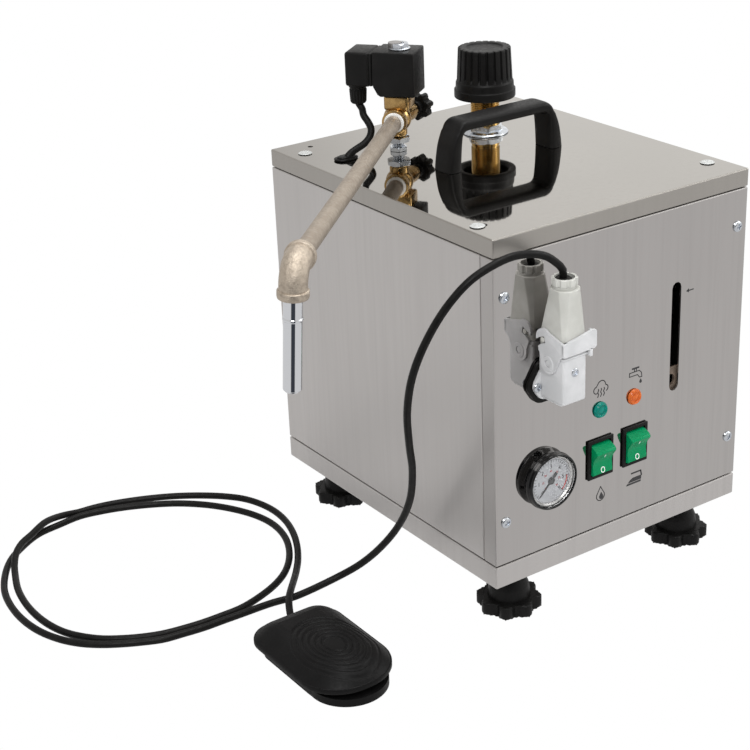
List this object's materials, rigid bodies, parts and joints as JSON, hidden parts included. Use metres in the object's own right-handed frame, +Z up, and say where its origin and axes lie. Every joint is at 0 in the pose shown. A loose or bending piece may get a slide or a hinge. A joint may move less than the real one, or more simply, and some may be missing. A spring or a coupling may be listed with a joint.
{
  "type": "countertop steam cleaner",
  "caption": "Stainless box steam cleaner on star-knob feet, with a carrying handle, filler cap, steam valve with pipe and down-turned nozzle, switch panel, gauge and corded foot pedal.",
  "frame": {"origin": "on the floor, under the middle of the bounding box of everything but the pedal's cord", "axes": "+X to the machine's right as seen from its switch panel, +Y towards its rear, +Z up"},
  "size_m": [0.5532, 0.4297, 0.4222],
  "materials": {
    "bare_steel": "bare steel",
    "black_plastic": "black moulded plastic",
    "black_rubber": "black rubber",
    "brass": "machined brass",
    "cast_fitting": "cast fitting, champagne grey",
    "chrome": "chrome-plated tube",
    "clear": "clear",
    "dial_white": "white printed dial",
    "galvanised": "galvanised pipe",
    "green_lens": "green lens",
    "green_plastic": "green translucent rocker",
    "grey_plastic": "light grey moulded plastic",
    "orange_lens": "orange lens",
    "stainless": "mirror-polished stainless sheet",
    "zinc": "zinc-plated steel"
  },
  "bodies": {
    "machine": {"base_tray": "stainless", "lid": "stainless", "front_panel": "stainless", "wrap_panel": "stainless", "carry_handle": "black_plastic", "filler_neck": "brass", "filler_ring_nut": "zinc", "nipple_locknut": "zinc", "steam_nipple": "bare_steel", "valve_body": "brass", "armature_tube": "brass", "armature_spring": "bare_steel", "solenoid_coil": "black_plastic", "coil_nut": "zinc", "din_plug": "black_plastic", "solenoid_lead": "black_rubber", "lid_grommet": "black_rubber", "steam_pipe": "galvanised", "pipe_elbow": "cast_fitting", "steam_nozzle": "chrome", "gauge_case": "black_plastic", "gauge_dial": "dial_white", "gauge_lens": "clear", "lamp_green": "green_lens", "lamp_orange": "orange_lens", "rocker_frame_left": "black_plastic", "rocker_frame_right": "black_plastic", "sight_tube": "clear", "sight_fitting_low": "brass", "sight_fitting_top": "brass", "connector_gasket": "black_rubber", "connector_housing": "grey_plastic", "connector_hood": "grey_plastic", "boiler_shell": "bare_steel", "heating_element": "brass", "pressure_switch": "zinc", "mains_gland": "black_plastic", "pedal_base": "black_plastic", "pedal_switch": "black_plastic", "pedal_spring": "bare_steel", "pedal_cord": "black_rubber"},
    "filler_plug": {"filler_plug": "brass"},
    "filler_cap": {"filler_cap": "black_plastic"},
    "regulator_stem": {"regulator_stem": "bare_steel"},
    "regulator_knob": {"regulator_knob": "black_plastic"},
    "rocker_left": {"rocker_left": "green_plastic"},
    "rocker_right": {"rocker_right": "green_plastic"},
    "gauge_needle": {"gauge_needle": "black_plastic"},
    "armature": {"armature": "bare_steel"},
    "locking_lever": {"locking_lever": "grey_plastic"},
    "pedal_cover": {"pedal_cover": "black_plastic"},
    "switch_plunger": {"switch_plunger": "grey_plastic"},
    "foot_stud_front_left": {"foot_stud_front_left": "bare_steel"},
    "foot_knob_front_left": {"foot_knob_front_left": "black_plastic"},
    "foot_stud_front_right": {"foot_stud_front_right": "bare_steel"},
    "foot_knob_front_right": {"foot_knob_front_right": "black_plastic"},
    "foot_stud_rear_right": {"foot_stud_rear_right": "bare_steel"},
    "foot_knob_rear_right": {"foot_knob_rear_right": "black_plastic"},
    "foot_stud_rear_left": {"foot_stud_rear_left": "bare_steel"},
    "foot_knob_rear_left": {"foot_knob_rear_left": "black_plastic"}
  },
  "joints": [
    {"name": "filler_plug_rise", "type": "slide", "parent": "machine", "child": "filler_plug", "axis": [0, 0, 1], "range_m": [0, 0.006]},
    {"name": "filler_cap_turn", "type": "hinge", "parent": "filler_plug", "child": "filler_cap", "pos_m": [0.13304, 0.07795, 0.375], "axis": [0, 0, 1], "range_deg": [0, 1081]},
    {"name": "foot_stud_front_left_drop", "type": "slide", "parent": "machine", "child": "foot_stud_front_left", "axis": [0, 0, -1], "range_m": [0, 0.009]},
    {"name": "foot_knob_front_left_turn", "type": "hinge", "parent": "foot_stud_front_left", "child": "foot_knob_front_left", "pos_m": [0.00264, -0.11255, 0.0055], "axis": [0, 0, -1], "range_deg": [0, 2161]},
    {"name": "foot_stud_front_right_drop", "type": "slide", "parent": "machine", "child": "foot_stud_front_right", "axis": [0, 0, -1], "range_m": [0, 0.009]},
    {"name": "foot_knob_front_right_turn", "type": "hinge", "parent": "foot_stud_front_right", "child": "foot_knob_front_right", "pos_m": [0.18804, -0.11255, 0.0055], "axis": [0, 0, -1], "range_deg": [0, 2161]},
    {"name": "foot_stud_rear_right_drop", "type": "slide", "parent": "machine", "child": "foot_stud_rear_right", "axis": [0, 0, -1], "range_m": [0, 0.009]},
    {"name": "foot_knob_rear_right_turn", "type": "hinge", "parent": "foot_stud_rear_right", "child": "foot_knob_rear_right", "pos_m": [0.18804, 0.12945, 0.0055], "axis": [0, 0, -1], "range_deg": [0, 2161]},
    {"name": "foot_stud_rear_left_drop", "type": "slide", "parent": "machine", "child": "foot_stud_rear_left", "axis": [0, 0, -1], "range_m": [0, 0.009]},
    {"name": "foot_knob_rear_left_turn", "type": "hinge", "parent": "foot_stud_rear_left", "child": "foot_knob_rear_left", "pos_m": [0.00264, 0.12945, 0.0055], "axis": [0, 0, -1], "range_deg": [0, 2161]},
    {"name": "regulator_stem_travel", "type": "slide", "parent": "machine", "child": "regulator_stem", "axis": [-0.891, -0.454, 0], "range_m": [0, 0.004]},
    {"name": "regulator_knob_turn", "type": "hinge", "parent": "regulator_stem", "child": "regulator_knob", "pos_m": [0.04594, 0.08455, 0.3584], "axis": [-0.891, -0.454, 0], "range_deg": [0, 1441]},
    {"name": "rocker_left_tilt", "type": "hinge", "parent": "machine", "child": "rocker_left", "pos_m": [0.07004, -0.13875, 0.1242], "axis": [-1, 0, 0], "range_deg": [0, 26]},
    {"name": "rocker_right_tilt", "type": "hinge", "parent": "machine", "child": "rocker_right", "pos_m": [0.10669, -0.13875, 0.1242], "axis": [-1, 0, 0], "range_deg": [0, 26]},
    {"name": "gauge_needle_sweep", "type": "hinge", "parent": "machine", "child": "gauge_needle", "pos_m": [0.01674, -0.14275, 0.1233], "axis": [0, 1, 0], "range_deg": [0, 270], "stiffness_Nm_per_rad": 0.0002, "springref_deg": -17.19},
    {"name": "armature_lift", "type": "slide", "parent": "machine", "child": "armature", "axis": [0, 0, 1], "range_m": [0, 0.0015], "stiffness_N_per_m": 800, "springref_m": -0.002, "deforming": ["armature_spring"]},
    {"name": "locking_lever_open", "type": "hinge", "parent": "machine", "child": "locking_lever", "pos_m": [0.01734, -0.15975, 0.23], "axis": [1, 0, 0], "range_deg": [0, 55]},
    {"name": "pedal_cover_press", "type": "hinge", "parent": "machine", "child": "pedal_cover", "pos_m": [-0.16516, -0.05155, 0.0125], "axis": [1, 0, 0], "range_deg": [0, 2.5], "stiffness_Nm_per_rad": 6, "springref_deg": -4.58, "deforming": ["pedal_spring"]},
    {"name": "switch_plunger_press", "type": "slide", "parent": "machine", "child": "switch_plunger", "axis": [0, 0, -1], "range_m": [0, 0.0022]}
  ],
  "couplings": [
    {"joint": "filler_cap_turn", "follows": "filler_plug_rise", "rad_per_m": 3141.6},
    {"joint": "foot_knob_front_left_turn", "follows": "foot_stud_front_left_drop", "rad_per_m": 4188.8},
    {"joint": "foot_knob_front_right_turn", "follows": "foot_stud_front_right_drop", "rad_per_m": 4188.8},
    {"joint": "foot_knob_rear_right_turn", "follows": "foot_stud_rear_right_drop", "rad_per_m": 4188.8},
    {"joint": "foot_knob_rear_left_turn", "follows": "foot_stud_rear_left_drop", "rad_per_m": 4188.8},
    {"joint": "regulator_knob_turn", "follows": "regulator_stem_travel", "rad_per_m": 6283.2},
    {"joint": "switch_plunger_press", "follows": "pedal_cover_press", "m_per_rad": 0.046}
  ]
}
